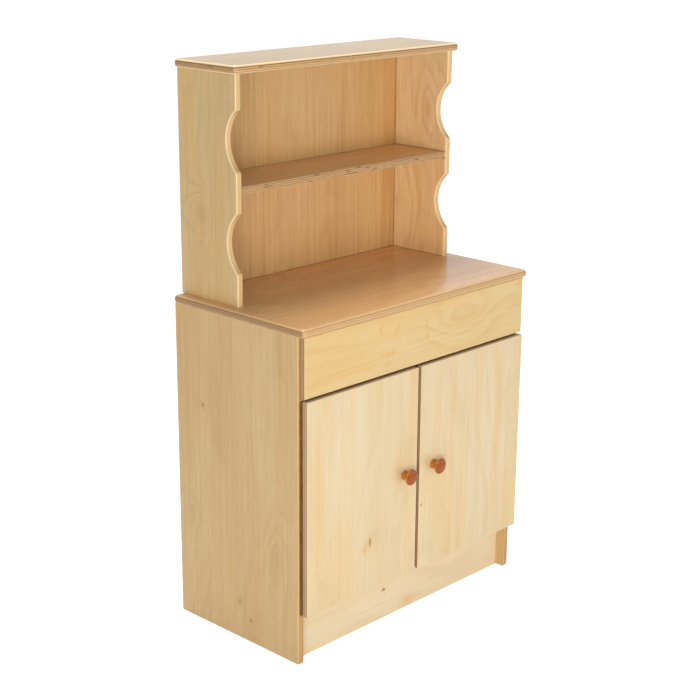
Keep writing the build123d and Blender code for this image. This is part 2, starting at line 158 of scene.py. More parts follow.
veneerGrain = {   # cells per metre across and along the grain, a shift to set it apart, detail, roughness
    "broad": (5.0, 1.5, 0.0, 2.0, 0.45),
    "fine": (22.0, 5.0, 3.7, 2.0, 0.5),
    "fade": (14.0, 2.2, 9.1, 1.0, 0.5),
    "streaks": (150.0, 2.0, 12.4, 2.0, 0.6),
    "coarseFibre": (420.0, 7.0, 5.3, 3.0, 0.6),
    "fineFibre": (1500.0, 30.0, 1.9, 2.0, 0.5),
    "mottle": (11.0, 2.6, 6.6, 3.0, 0.55),
    "bands": (17.0, 2.4, 15.2, 2.0, 0.6),
    "specks": (650.0, 60.0, 8.8, 1.0, 0.5),
}
veneerLook = {
    "seedStep": 7.31,      # how far apart two seeds lie
    "fineSway": 0.10,      # the fine noise's share of the sway
    "slope": 0.16,         # steady climb across the board, which gives plain rings between the ovals
    "rise": 0.35,          # the dark line starts here in each ring gap
    "peak": 0.93,          # and is darkest here, before it stops short
    "coarseShare": 0.65,   # of the fibres
    "fade": (0.3, 0.75),   # where each mask starts and is full
    "flecks": (0.70, 0.80),
    "tint": (0.42, 0.66),
}


def makeVeneerFigure(grain, look):
    # growth figure, fibres and mottle of a rotary-cut face veneer; Place is (across, along, depth), metres
    tree, given, result = newGroup("veneerFigure", {
        "Place": None, "Seed": 0.0, "Ring Gap": 0.02, "Sway": 0.05, "Ripple": 0.0, "Show": 0.0,
    }, ["Rings", "Streaks", "Fibres", "Mottle", "Flecks", "Tint"])
    across, along = splitAxes(tree, given["Place"])[:2]
    seed = times(tree, given["Seed"], look["seedStep"])

    def stretched(name):
        acrossCells, alongCells, shift, detail, roughness = grain[name]
        place = joinAxes(tree, times(tree, across, acrossCells), times(tree, along, alongCells),
                         calc(tree, "ADD", seed, shift))
        return noise(tree, place, detail, roughness)

    broad = calc(tree, "SUBTRACT", stretched("broad"), 0.5)
    fine = calc(tree, "SUBTRACT", stretched("fine"), 0.5)
    hill = times(tree, broad, given["Sway"])
    hill = calc(tree, "MULTIPLY_ADD", fine, times(tree, given["Sway"], look["fineSway"]), hill)
    hill = calc(tree, "ADD", hill, times(tree, across, look["slope"]))
    hill = calc(tree, "ADD", hill, given["Ripple"])
    turn = calc(tree, "FRACT", calc(tree, "DIVIDE", hill, given["Ring Gap"]))
    late = soften(tree, turn, look["rise"], look["peak"])
    fall = soften(tree, turn, look["peak"], 1.0, 1.0, 0.0)
    fade = calc(tree, "MAXIMUM", soften(tree, stretched("fade"), *look["fade"]), given["Show"])
    fibres = calc(tree, "ADD", times(tree, stretched("coarseFibre"), look["coarseShare"]),
                  times(tree, stretched("fineFibre"), 1 - look["coarseShare"]))
    feedAll(tree, result, {
        "Rings": times(tree, times(tree, late, fall), fade),
        "Streaks": stretched("streaks"),
        "Fibres": fibres,
        "Mottle": stretched("mottle"),
        "Flecks": soften(tree, stretched("specks"), *look["flecks"]),
        "Tint": soften(tree, stretched("bands"), *look["tint"]),
    })
    return tree


knotShape = {
    "bendCells": 38.0,     # per metre, of the noise that bends a mark
    "sidewaysBend": 0.4,   # share of the bend that goes across the grain
    "raggedCells": 260.0,
    "ragged": 1.3,
    "raggedLeast": 0.35,
    "coreEdge": 0.35,      # the core is full inside this share of its size
    "near": (3.6, 1.2),    # from where the figure starts to show to where it shows fully, in reaches
}


def makeKnotMark(look):
    # a pin knot: a small core, a warm halo and a hump that bends the figure round it
    tree, given, result = newGroup("knotMark", {
        "Place": None, "Across": 0.0, "Along": 0.0, "Size": 0.004, "Stretch": 1.8, "Reach": 0.03,
        "Lift": 0.02, "Bend": 0.0,
    }, ["Core", "Halo", "Ripple", "Near"])
    across, along = splitAxes(tree, given["Place"])[:2]
    sway = noise(tree, scaleVector(tree, given["Place"], look["bendCells"]), 1.0)
    sway = calc(tree, "SUBTRACT", sway, 0.5)
    away = calc(tree, "SUBTRACT", across, given["Across"])
    away = calc(tree, "MULTIPLY_ADD", sway, times(tree, given["Bend"], look["sidewaysBend"]), away)
    up = calc(tree, "MULTIPLY_ADD", sway, given["Bend"], calc(tree, "SUBTRACT", along, given["Along"]))
    up = calc(tree, "DIVIDE", up, given["Stretch"])
    distance = calc(tree, "SQRT", calc(tree, "ADD", times(tree, away, away), times(tree, up, up)))
    wobble = noise(tree, scaleVector(tree, given["Place"], look["raggedCells"]))
    ragged = times(tree, distance, calc(tree, "MULTIPLY_ADD", wobble, look["ragged"], look["raggedLeast"]))
    near = calc(tree, "DIVIDE", distance, given["Reach"])
    feedAll(tree, result, {
        "Core": soften(tree, calc(tree, "DIVIDE", ragged, given["Size"]), 1.0, look["coreEdge"]),
        "Halo": soften(tree, calc(tree, "DIVIDE", ragged, given["Reach"]), 1.0, 0.0),
        "Ripple": calc(tree, "DIVIDE", given["Lift"], calc(tree, "ADD", 1.0, times(tree, near, near))),
        "Near": soften(tree, near, *look["near"]),
    })
    return tree


edgeShape = {
    "seedStep": 3.17,
    "waverCells": 9.0,   # per metre
    "waver": 0.035,      # how far the layers wander, as a share of the board
    "layer": (0.34, 0.66),   # how sharply light and dark layers part
    "streakCells": (60.0, 14.0),   # per metre along the edge, and through the board
    "holeCells": (42.0, 6.0),
    "holeShift": 4.4,
    "holeEdge": 0.035,
}


def makePlyEdge(look):
    # the layers seen on a sawn edge; Depth runs 0 to 1 through the board
    tree, given, result = newGroup("plyEdge", {
        "Place": None, "Depth": 0.5, "Layers": 9.0, "Seed": 0.0, "Sound": 0.72,
    }, ["Layer", "Streak", "Void"])
    across, along = splitAxes(tree, given["Place"])[:2]
    seed = times(tree, given["Seed"], look["seedStep"])
    lengthways = calc(tree, "ADD", across, along)
    cells = look["waverCells"]
    waver = noise(tree, joinAxes(tree, times(tree, across, cells), times(tree, along, cells), seed), 1.0)
    waver = calc(tree, "SUBTRACT", waver, 0.5)
    level = calc(tree, "MULTIPLY_ADD", waver, look["waver"], given["Depth"])
    stack = times(tree, times(tree, level, given["Layers"]), 0.5)
    swing = calc(tree, "PINGPONG", calc(tree, "ADD", stack, 0.25), 0.5)

    def alongEdge(cells, shift):
        return joinAxes(tree, times(tree, lengthways, cells[0]), times(tree, level, cells[1]), shift)

    holePlace = alongEdge(look["holeCells"], calc(tree, "ADD", seed, look["holeShift"]))
    holes = calc(tree, "SUBTRACT", noise(tree, holePlace, 1.0), given["Sound"])
    feedAll(tree, result, {
        "Layer": soften(tree, times(tree, swing, 2.0), *look["layer"]),
        "Streak": noise(tree, alongEdge(look["streakCells"], seed), 4.0, 0.65),
        "Void": soften(tree, holes, 0.0, look["holeEdge"]),
    })
    return tree


handlingShape = {   # cells per metre, and how far rubs raise the roughness
    "cloudCells": 9.0, "rubCells": 70.0, "reliefCells": 240.0, "rub": (0.6, 0.8), "rubRoughness": 0.12,
}


def makeHandling(look):
    # slow changes of a lacquered, handled surface: cloudy sheen, faint rubs and dust
    tree, given, result = newGroup("handling", {
        "Place": None, "Sheen": 0.35, "Cloud": 0.08, "Rubs": 0.5,
    }, ["Roughness", "Rub", "Relief"])
    cloud = noise(tree, scaleVector(tree, given["Place"], look["cloudCells"]), 3.0)
    cloud = calc(tree, "SUBTRACT", cloud, 0.5)
    rubNoise = noise(tree, scaleVector(tree, given["Place"], look["rubCells"]), 4.0, 0.7)
    rub = times(tree, soften(tree, rubNoise, *look["rub"]), given["Rubs"])
    roughness = calc(tree, "MULTIPLY_ADD", cloud, given["Cloud"], given["Sheen"])
    feedAll(tree, result, {
        "Roughness": calc(tree, "MULTIPLY_ADD", rub, look["rubRoughness"], roughness, clamp=True),
        "Rub": rub,
        "Relief": noise(tree, scaleVector(tree, given["Place"], look["reliefCells"])),
    })
    return tree


veneerFigure = makeVeneerFigure(veneerGrain, veneerLook)
knotMark = makeKnotMark(knotShape)
plyEdge = makePlyEdge(edgeShape)
handling = makeHandling(handlingShape)


def newMaterial(name):
    material = bpy.data.materials.new(name)
    material.use_nodes = True
    tree = material.node_tree
    surface = tree.nodes["Principled BSDF"]
    return material, tree, surface


def texturePlace(tree):
    return tree.nodes.new("ShaderNodeTexCoord").outputs


def addBump(tree, surface, height, look):
    bump = tree.nodes.new("ShaderNodeBump")
    feedAll(tree, bump.inputs, {"Strength": look["relief"], "Distance": look["bumpHeight"], "Height": height})
    tree.links.new(bump.outputs[0], surface.inputs["Normal"])


def addHandling(tree, place, look):
    return useGroup(tree, handling, {
        "Place": place, "Sheen": look["sheen"], "Cloud": look["cloud"], "Rubs": look["rubs"]})


def newObject(name, data):
    made = bpy.data.objects.new(name, data)
    scene.collection.objects.link(made)
    return made


def paint(material, *names):
    for nodeName in names:
        for nodeSlot in nodes[nodeName].material_slots:
            nodeSlot.material = material


def pairOf(name):
    return ["left_" + name, "right_" + name]


# plywood

plyLook = {   # what a board has unless its own look says otherwise; lengths in metres
    "pair": False,      # one look for two boards that mirror each other
    "rings": 0.30, "streaks": 0.25, "paleStreaks": 0.35, "warm": None,
    "knots": [], "halo": 0.3, "core": 0.8,
    "ovals": 0.2,       # how far the figure shows round a knot
    "patches": [],
    "layers": 7.0, "edgeLight": rgb(224, 182, 124), "edgeDark": rgb(190, 142, 86), "edgeStreaks": 0.30,
    "endGrain": 0.8, "edgeEnd": rgb(184, 142, 92), "endStreaks": 0.6,
    "sound": 0.72,      # the higher, the fewer voids
    "void": rgb(96, 54, 20), "voids": 0.5,
    "glueLine": None,   # height in the board, half its width and strength
    "glueLeast": 0.6,   # share of the strength where the line is faintest
    # arris: strength of a painted highlight along the rounded arris
    "arris": 0.35,
    "seams": [],        # painted shade, partly pooled finish, in inner corners: axis, place on it and reach
    "seamFace": 1,      # which of the two faces has them, 1 or -1
    "seamStrength": 0.5, "seamCore": 0.3,
    "cloud": 0.10, "rubs": 0.15, "rubTone": 0.10, "sawnRoughness": 0.15,
    "relief": 0.35, "bumpHeight": 0.00025, "fibreRelief": 0.6, "touchRelief": 0.4, "layerRelief": 0.8,
    "coat": 0.15, "coatRoughness": 0.28, "specular": 0.4,
}
plyMask = {   # where each mask starts and is full
    "mottle": (0.25, 0.75), "streaks": (0.48, 0.78), "paleStreaks": (0.46, 0.30), "fibres": (0.35, 0.68),
    "edgeStreaks": (0.45, 0.80), "endGrain": (0.5, 0.9), "endStreaks": (0.40, 0.70), "glueLine": (0.2, 0.6),
    "sawn": (0.93, 0.72), "arrisFace": (0.995, 0.93), "arrisEdge": (0.45, 0.72), "seamFace": (0.6, 0.95),
}


def plyFace(tree, place, look):
    # the face veneer's colour, and its figure
    ripple, core, halo, show = 0.0, 0.0, 0.0, 0.0
    for knot in look["knots"]:
        mark = useGroup(tree, knotMark, {"Place": place, **knot})
        ripple = calc(tree, "ADD", ripple, mark["Ripple"])
        core = calc(tree, "MAXIMUM", core, mark["Core"])
        halo = calc(tree, "MAXIMUM", halo, mark["Halo"])
        show = calc(tree, "MAXIMUM", show, mark["Near"])
    figure = useGroup(tree, veneerFigure, {
        "Place": place, "Seed": look["seed"], "Sway": look["sway"], "Ring Gap": look["ringGap"],
        "Ripple": ripple, "Show": times(tree, show, look["ovals"])})
    mottle = soften(tree, figure["Mottle"], *plyMask["mottle"])
    colour = blendColour(tree, mottle, look["light"], look["deep"])
    if look["warm"]:
        colour = stain(tree, colour, figure["Tint"], look["tint"], look["warm"])
    colour = stain(tree, colour, figure["Rings"], look["rings"], look["ring"])
    for part, name, tone in (("Streaks", "streaks", "ring"), ("Streaks", "paleStreaks", "light"),
                             ("Fibres", "fibres", "ring")):
        mask = soften(tree, figure[part], *plyMask[name])
        colour = stain(tree, colour, mask, look[name], look[tone])
    colour = stain(tree, colour, figure["Flecks"], look["flecks"], look["dark"])
    for patch in look["patches"]:
        mark = useGroup(tree, knotMark, {"Place": place, **patch["where"]})
        colour = stain(tree, colour, mark["Halo"], patch["strength"], patch["colour"])
    if look["knots"]:
        colour = stain(tree, colour, halo, look["halo"], look["ring"])
        colour = stain(tree, colour, core, look["core"], look["dark"])
    return colour, figure


def plySawn(tree, place, depth, ends, look):
    # a sawn edge's colour, with end grain where ends is high, and its layers
    layers = useGroup(tree, plyEdge, {
        "Place": place, "Depth": depth, "Layers": look["layers"], "Seed": look["seed"],
        "Sound": look["sound"]})
    edge = blendColour(tree, layers["Layer"], look["edgeDark"], look["edgeLight"])
    streaks = soften(tree, layers["Streak"], *plyMask["edgeStreaks"], 0.0, look["edgeStreaks"])
    edge = blendColour(tree, streaks, edge, look["edgeDark"])
    endDark = look.get("endDark", look["edgeEnd"])
    endTone = blendColour(tree, layers["Layer"], endDark, look["edgeEnd"])
    endStreaks = soften(tree, layers["Streak"], *plyMask["endStreaks"], 0.0, look["endStreaks"])
    endTone = blendColour(tree, endStreaks, endTone, endDark)
    endGrain = soften(tree, ends, *plyMask["endGrain"], 0.0, look["endGrain"])
    edge = blendColour(tree, endGrain, edge, endTone)
    if look["glueLine"]:
        level, width, strength = look["glueLine"]
        below = soften(tree, depth, level - width, level)
        line = times(tree, below, soften(tree, depth, level + width, level))
        least = strength * look["glueLeast"]
        broken = soften(tree, layers["Streak"], *plyMask["glueLine"], least, strength)
        edge = stain(tree, edge, line, broken, look["void"])
    return stain(tree, edge, layers["Void"], look["voids"], look["void"]), layers


def plySeamShade(tree, colour, spot, faceUp, look):
    # painted shade, partly pooled finish, where another board meets this one's face
    seam = 0.0
    for axis, position, reach in look["seams"]:
        gap = calc(tree, "ABSOLUTE", calc(tree, "SUBTRACT", spot[axis], position))
        seam = calc(tree, "MAXIMUM", seam, soften(tree, gap, reach, reach * look["seamCore"]))
    onFace = soften(tree, times(tree, faceUp, look["seamFace"]), *plyMask["seamFace"])
    return stain(tree, colour, times(tree, seam, onFace), look["seamStrength"], look["dark"])


def boardSpan(node, axis):
    low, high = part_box(node)
    index = "XYZ".index(axis)
    return low[index], high[index]


def plyMaterial(name, boardLook):
    # axes: which of X, Y, Z runs across the grain, along it and through the board
    look = {**plyLook, **boardLook}
    material, tree, surface = newMaterial(name)
    where = texturePlace(tree)
    spot = dict(zip("XYZ", splitAxes(tree, where["Object"])))
    facing = dict(zip("XYZ", splitAxes(tree, where["Normal"])))
    acrossAxis, alongAxis, depthAxis = look["axes"]
    place = joinAxes(tree, spot[acrossAxis], spot[alongAxis], spot[depthAxis])
    low, high = boardSpan(look["board"], depthAxis)
    through = calc(tree, "ABSOLUTE", spot[depthAxis]) if look["pair"] else spot[depthAxis]
    depth = calc(tree, "DIVIDE", calc(tree, "SUBTRACT", through, low), high - low)

    colour, figure = plyFace(tree, place, look)
    edge, layers = plySawn(tree, place, depth, calc(tree, "ABSOLUTE", facing[alongAxis]), look)
    squareness = calc(tree, "ABSOLUTE", facing[depthAxis])   # 1 on the faces, 0 on the edges
    sawn = soften(tree, squareness, *plyMask["sawn"])
    # a pale band on the rounded arris: a painted highlight
    arris = times(tree, soften(tree, squareness, *plyMask["arrisFace"]),
                  soften(tree, squareness, *plyMask["arrisEdge"]))
    colour = blendColour(tree, sawn, colour, edge)
    colour = stain(tree, colour, arris, look["arris"], look.get("arrisHighlightTone", look["light"]))
    # painted shade in the inner corners, partly pooled finish
    if look["seams"]:
        colour = plySeamShade(tree, colour, spot, facing[depthAxis], look)

    touch = addHandling(tree, place, look)
    height = times(tree, touch["Relief"], look["touchRelief"])
    height = calc(tree, "MULTIPLY_ADD", figure["Fibres"], look["fibreRelief"], height)
    height = calc(tree, "MULTIPLY_ADD", times(tree, layers["Layer"], sawn), look["layerRelief"], height)
    addBump(tree, surface, height, look)
    feedAll(tree, surface.inputs, {
        "Base Color": stain(tree, colour, touch["Rub"], look["rubTone"], look["light"]),
        "Roughness": calc(tree, "MULTIPLY_ADD", sawn, look["sawnRoughness"], touch["Roughness"], clamp=True),
        "Coat Weight": look["coat"],
        "Coat Roughness": look["coatRoughness"],
        "Specular IOR Level": look["specular"],
    })
    return material


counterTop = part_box("countertop")[1][2]
shelfLow, shelfHigh = boardSpan("hutch_shelf", "Z")
backFace = boardSpan("hutch_back", "Y")[0]
slabUnder = boardSpan("hutch_top", "Z")[0]
hutchInner = boardSpan("right_hutch_side", "X")[0]
cabinetInner = boardSpan("right_side_panel", "X")[0]
floorTop = boardSpan("cabinet_floor", "Z")[1]
innerShelfTop = boardSpan("cabinet_shelf", "Z")[1]


def knot(across, along, size, stretch, reach, lift):
    # metres, apart from stretch, which draws the mark out along the grain; lift bends the figure round it
    return {"Across": across, "Along": along, "Size": size, "Stretch": stretch, "Reach": reach,
            "Lift": lift}


def patch(across, along, stretch, reach, strength, colour, bend=0.0):
    # a soft stain, which has no core and doesn't bend the figure
    where = {"Across": across, "Along": along, "Stretch": stretch, "Reach": reach, "Bend": bend}
    return {"where": where, "strength": strength, "colour": colour}


sideLook = {
    "axes": "YZX", "pair": True, "board": "right_side_panel", "seed": 1.0,
    "light": rgb(221, 192, 139), "deep": rgb(213, 178, 124), "ring": rgb(188, 144, 90),
    "dark": rgb(120, 76, 34), "warm": rgb(218, 178, 115), "tint": 0.5, "ovals": 0.8, "core": 0.6,
    "ringGap": 0.0075, "sway": 0.12, "fibres": 0.30, "flecks": 0.18, "sheen": 0.42,
    "knots": [
        knot(0.109, 0.440, 0.0030, 1.6, 0.010, 0.006),
        knot(-0.015, 0.045, 0.0032, 1.3, 0.010, 0.006),
        knot(0.015, 0.0755, 0.0026, 1.3, 0.009, 0.005),
        knot(-0.086, 0.190, 0.0003, 2.2, 0.022, 0.018),
        knot(0.147, 0.216, 0.0003, 1.8, 0.012, 0.010),
    ],
}
rightSideLook = {
    **sideLook, "seed": 14.0,
    "knots": [
        knot(0.062, 0.512, 0.0024, 1.6, 0.009, 0.005),
        knot(-0.052, 0.268, 0.0003, 2.4, 0.024, 0.020),
        knot(0.118, 0.096, 0.0028, 1.4, 0.010, 0.006),
    ],
}
hutchSideLook = {
    "axes": "YZX", "pair": True, "board": "right_hutch_side", "seed": 2.0,
    "light": rgb(222, 196, 144), "deep": rgb(210, 178, 124), "ring": rgb(178, 136, 82),
    "dark": rgb(104, 60, 22), "warm": rgb(222, 180, 112), "tint": 0.6, "ovals": 1.0,
    # a strong painted highlight along the rounded front edge
    "arrisHighlightTone": rgb(252, 226, 180), "arris": 0.6,
    "ringGap": 0.0052, "sway": 0.09, "fibres": 0.28, "flecks": 0.15, "sheen": 0.42,
    "knots": [knot(0.1242, 0.795, 0.0004, 1.2, 0.022, 0.044)],
    "edgeLight": rgb(240, 206, 150), "edgeDark": rgb(222, 180, 122),
}
# lighter than the left hutch side's look: painted light on the right side's inner face and front edge, a lit
# copy of the same veneer
rightHutchLook = {
    **hutchSideLook, "seed": 12.0,
    "light": rgb(245, 217, 166), "deep": rgb(233, 196, 140), "ring": rgb(196, 146, 92),
    "dark": rgb(110, 66, 30),
    "warm": rgb(236, 192, 130), "tint": 0.4, "edgeLight": rgb(250, 216, 162),
    "edgeDark": rgb(234, 192, 134),
    "seams": [("Z", counterTop, 0.0022), ("Z", shelfHigh, 0.0022), ("Z", shelfLow, 0.0022),
              ("Y", backFace, 0.0030)],
    "seamFace": -1,
    "knots": [knot(0.080, 0.930, 0.0004, 3.0, 0.020, 0.014)],
}
doorLook = {
    "axes": "XZY", "board": "left_door", "seed": 3.0,
    "light": rgb(246, 227, 190), "deep": rgb(240, 215, 168), "ring": rgb(222, 188, 134),
    "dark": rgb(188, 112, 30), "warm": rgb(244, 208, 142), "tint": 0.55,
    "ringGap": 0.0095, "sway": 0.09, "fibres": 0.22, "flecks": 0.14, "sheen": 0.40,
    "knots": [
        knot(-0.1377, 0.197, 0.0045, 2.2, 0.016, 0.012),
        knot(0.0045, 0.229, 0.0024, 1.6, 0.006, 0.003),
    ],
    "patches": [
        patch(-0.225, 0.170, 1.6, 0.110, 0.35, rgb(244, 206, 142)),
        patch(-0.273, 0.330, 14.0, 0.016, 0.55, rgb(242, 200, 134)),
        patch(-0.151, 0.187, 1.2, 0.014, 0.60, rgb(232, 180, 104)),
        patch(-0.122, 0.207, 1.2, 0.011, 0.45, rgb(232, 188, 112)),
        patch(0.0158, 0.315, 1.6, 0.008, 0.45, rgb(238, 200, 116)),
    ],
    "halo": 0.45, "edgeLight": rgb(212, 180, 136), "edgeDark": rgb(158, 122, 82),
    # pale end-grain edges: painted light that lifts the shade on the top edge under the apron
    "edgeEnd": rgb(244, 214, 170),
}
apronLook = {
    "axes": "ZXY", "board": "front_apron", "seed": 4.0,
    "light": rgb(242, 214, 156), "deep": rgb(237, 204, 140), "ring": rgb(226, 176, 100),
    "dark": rgb(160, 100, 44), "warm": rgb(240, 196, 122), "tint": 0.4, "ovals": 1.0,
    "ringGap": 0.0070, "sway": 0.07, "fibres": 0.16, "flecks": 0.12, "sheen": 0.38,
    "knots": [knot(0.580, 0.125, 0.0003, 2.8, 0.030, 0.030)],
    "patches": [
        patch(0.549, -0.091, 6.0, 0.007, 0.65, rgb(238, 182, 92), bend=0.02),
        patch(0.530, -0.090, 1.2, 0.009, 0.55, rgb(238, 182, 92)),
        patch(0.598, -0.112, 0.30, 0.020, 0.68, rgb(236, 182, 98), bend=0.06),
        patch(0.587, -0.065, 0.30, 0.022, 0.68, rgb(236, 182, 98), bend=0.06),
        patch(0.584, 0.011, 0.30, 0.024, 0.68, rgb(236, 182, 98), bend=0.06),
        patch(0.561, 0.016, 1.4, 0.009, 0.60, rgb(238, 180, 90)),
        patch(0.612, 0.292, 1.4, 0.014, 0.60, rgb(238, 186, 100)),
    ],
    "edgeLight": rgb(206, 172, 126), "edgeDark": rgb(158, 120, 78), "edgeEnd": rgb(196, 158, 114),
    "endDark": rgb(150, 106, 68),
}
toeLook = {
    "axes": "ZXY", "board": "toe_kick", "seed": 5.0,
    # lighter than the doors: painted light that lifts the shade under the door overhang
    "light": rgb(250, 232, 196), "deep": rgb(246, 222, 178), "ring": rgb(230, 192, 140),
    "dark": rgb(84, 46, 16), "warm": rgb(248, 216, 160), "tint": 0.4,
    "ringGap": 0.0090, "sway": 0.09, "fibres": 0.20, "flecks": 0.14, "sheen": 0.45,
    "knots": [knot(0.059, -0.0545, 0.0040, 1.3, 0.010, 0.006)],
    "patches": [
        patch(0.014, 0.014, 1.6, 0.022, 0.60, rgb(240, 192, 126)),
    ],
}
counterLook = {
    "axes": "YXZ", "board": "countertop", "seed": 6.0,
    "light": rgb(230, 190, 138), "deep": rgb(218, 174, 122), "ring": rgb(184, 132, 84),
    "dark": rgb(110, 66, 36), "warm": rgb(230, 178, 116), "tint": 0.55,
    "ringGap": 0.0085, "sway": 0.10, "fibres": 0.34, "flecks": 0.18, "sheen": 0.26,
    "coat": 0.18, "coatRoughness": 0.15, "rubs": 0.0, "relief": 0.10,
    "seams": [("Y", backFace, 0.0035)], "seamStrength": 0.35, "arris": 0.25, "glueLine": (0.80, 0.09, 0.40),
    "voids": 0.15,
    "edgeDark": rgb(212, 167, 112), "endGrain": 0.95, "edgeEnd": rgb(176, 136, 86),
    "endDark": rgb(152, 114, 69),
}
slabLook = {
    "axes": "YXZ", "board": "hutch_top", "seed": 7.0,
    "light": rgb(184, 155, 103), "deep": rgb(172, 140, 88), "ring": rgb(150, 112, 66),
    "dark": rgb(96, 58, 26), "ringGap": 0.0085, "sway": 0.10, "fibres": 0.34, "flecks": 0.20, "sheen": 0.32,
    # arris and its tone: a painted highlight on the rounded edges
    "coat": 0.26, "coatRoughness": 0.20, "rubs": 0.0, "arris": 0.9, "arrisHighlightTone": rgb(248, 220, 174),
    "glueLine": (0.72, 0.09, 0.9), "sound": 0.69, "endGrain": 0.9,
    "edgeEnd": rgb(186, 145, 92), "endDark": rgb(168, 128, 78),
}
shelfLook = {
    "axes": "YXZ", "board": "hutch_shelf", "seed": 8.0,
    "light": rgb(242, 199, 144), "deep": rgb(230, 181, 124), "ring": rgb(186, 130, 78),
    "dark": rgb(90, 50, 22), "rubs": 0.0,
    "ringGap": 0.0085, "sway": 0.10, "fibres": 0.30, "flecks": 0.18, "sheen": 0.34,
    "coat": 0.25, "coatRoughness": 0.22, "glueLine": (0.80, 0.10, 0.5), "voids": 1.0, "sound": 0.66,
    "relief": 0.2, "seams": [("Y", backFace, 0.0045), ("X", hutchInner, 0.0022)], "seamStrength": 0.75,
    "edgeLight": rgb(214, 174, 120), "edgeDark": rgb(176, 130, 78),
}
backLook = {
    "axes": "XZY", "board": "hutch_back", "seed": 9.0,
    "light": rgb(228, 188, 130), "deep": rgb(217, 173, 112), "ring": rgb(184, 134, 74),
    "dark": rgb(110, 68, 32), "warm": rgb(226, 176, 104), "tint": 0.4,
    "ringGap": 0.0100, "sway": 0.12, "rings": 0.24, "fibres": 0.40, "flecks": 0.20, "sheen": 0.45,
    "streaks": 0.5,
    "seams": [("Z", counterTop, 0.0022), ("Z", shelfLow, 0.0022), ("Z", slabUnder, 0.0030),
              ("X", hutchInner, 0.0022)],
    "seamFace": -1, "layers": 5.0,
}
cabinetBackLook = {
    **backLook, "board": "cabinet_back", "seed": 13.0,
    "seams": [("Z", floorTop, 0.0022), ("Z", innerShelfTop, 0.0022), ("X", cabinetInner, 0.0022)],
}
carcassLook = {
    "axes": "YXZ", "board": "cabinet_floor", "seed": 10.0,
    "light": rgb(226, 198, 152), "deep": rgb(214, 182, 134), "ring": rgb(190, 150, 100),
    "dark": rgb(120, 80, 44),
    "ringGap": 0.0090, "sway": 0.10, "rings": 0.32, "fibres": 0.26, "flecks": 0.15, "sheen": 0.46,
}
innerShelfLook = {**carcassLook, "board": "cabinet_shelf", "seed": 11.0}

paint(plyMaterial("leftSidePly", sideLook), "left_side_panel")
paint(plyMaterial("rightSidePly", rightSideLook), "right_side_panel")
paint(plyMaterial("leftHutchPly", hutchSideLook), "left_hutch_side")
paint(plyMaterial("rightHutchPly", rightHutchLook), "right_hutch_side")
paint(plyMaterial("doorPly", doorLook), *pairOf("door"))
paint(plyMaterial("apronPly", apronLook), "front_apron")
paint(plyMaterial("toeKickPly", toeLook), "toe_kick")
counterPly = plyMaterial("counterPly", counterLook)
topBoardPly = plyMaterial("topBoardPly", slabLook)
paint(counterPly, "countertop")
paint(topBoardPly, "hutch_top")
paint(plyMaterial("hutchShelfPly", shelfLook), "hutch_shelf")
paint(plyMaterial("hutchBackPly", backLook), "hutch_back")
paint(plyMaterial("cabinetBackPly", cabinetBackLook), "cabinet_back")
paint(plyMaterial("floorPly", carcassLook), "cabinet_floor")
paint(plyMaterial("innerShelfPly", innerShelfLook), "cabinet_shelf")
print("plywood done")


# rounded top boards

counterBoard = {   # metres
    "roundOver": 0.0072, "corner": 0.0095, "lip": 0.0006, "arcSteps": 7, "cornerSteps": 8,
}
slabBoard = {**counterBoard, "roundOver": 0.0068}


def skin(shape, loops):
    # walls between neighbouring loops, and a cap on each end
    for lower, upper in zip(loops, loops[1:]):
        for i in range(len(lower)):
            following = (i + 1) % len(lower)
            shape.faces.new((lower[i], lower[following], upper[following], upper[i]))
    shape.faces.new(loops[0][::-1])
    shape.faces.new(loops[-1])


def newPiece(shape, name, material):
    # a smooth object made from a finished shape
    bmesh.ops.recalc_face_normals(shape, faces=shape.faces)
    mesh = bpy.data.meshes.new(name)
    shape.to_mesh(mesh)
    shape.free()
    mesh.polygons.foreach_set("use_smooth", [True] * len(mesh.polygons))
    mesh.materials.append(material)
    return newObject(name, mesh)


def boardOutline(low, high, look, inset):
    # the board's outline from above, drawn in by inset, with the same number of points for every inset
    radius = look["corner"] - inset
    corners = [(high[0], high[1]), (low[0], high[1]), (low[0], low[1]), (high[0], low[1])]
    outline = []
    for quarter, (x, y) in enumerate(corners):
        centreX = x - math.copysign(look["corner"], x - (low[0] + high[0]) / 2)
        centreY = y - math.copysign(look["corner"], y - (low[1] + high[1]) / 2)
        for step in range(look["cornerSteps"] + 1):
            angle = math.radians(90 * (quarter + step / look["cornerSteps"]))
            outline.append((centreX + radius * math.cos(angle), centreY + radius * math.sin(angle)))
    return outline


def makeBoard(nodeName, look, material):
    # a board with a full round-over all round, in the room of its plainer CAD node
    low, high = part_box(nodeName)
    roundOver = look["roundOver"]
    arc = []
    for step in range(look["arcSteps"] + 1):
        angle = math.radians(90 * step / look["arcSteps"])
        arc.append((roundOver * (1 - math.sin(angle)), roundOver * (1 - math.cos(angle))))
    lip = roundOver + look["lip"]   # keeps the flat faces flat up to the arc
    rings = [(lip, low[2])] + [(inset, low[2] + rise) for inset, rise in arc]
    rings += [(inset, high[2] - rise) for inset, rise in reversed(arc)] + [(lip, high[2])]
    board = bmesh.new()
    loops = []
    for inset, z in rings:
        loops.append([board.verts.new((x, y, z)) for x, y in boardOutline(low, high, look, inset)])
    skin(board, loops)
    piece = newPiece(board, nodeName + "_rounded", material)
    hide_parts(nodeName)
    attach(piece, "cabinet")


makeBoard("countertop", counterBoard, counterPly)
makeBoard("hutch_top", slabBoard, topBoardPly)
print("rounded boards done")


# solid wood

woodMask = {   # where each mask starts and is full; the pores' mask runs from the third value to the fourth
    "mottle": (0.3, 0.7), "fibres": (0.4, 0.65), "endGrain": (0.55, 0.95), "pores": (0.3, 0.7, 0.45, 1.0),
}


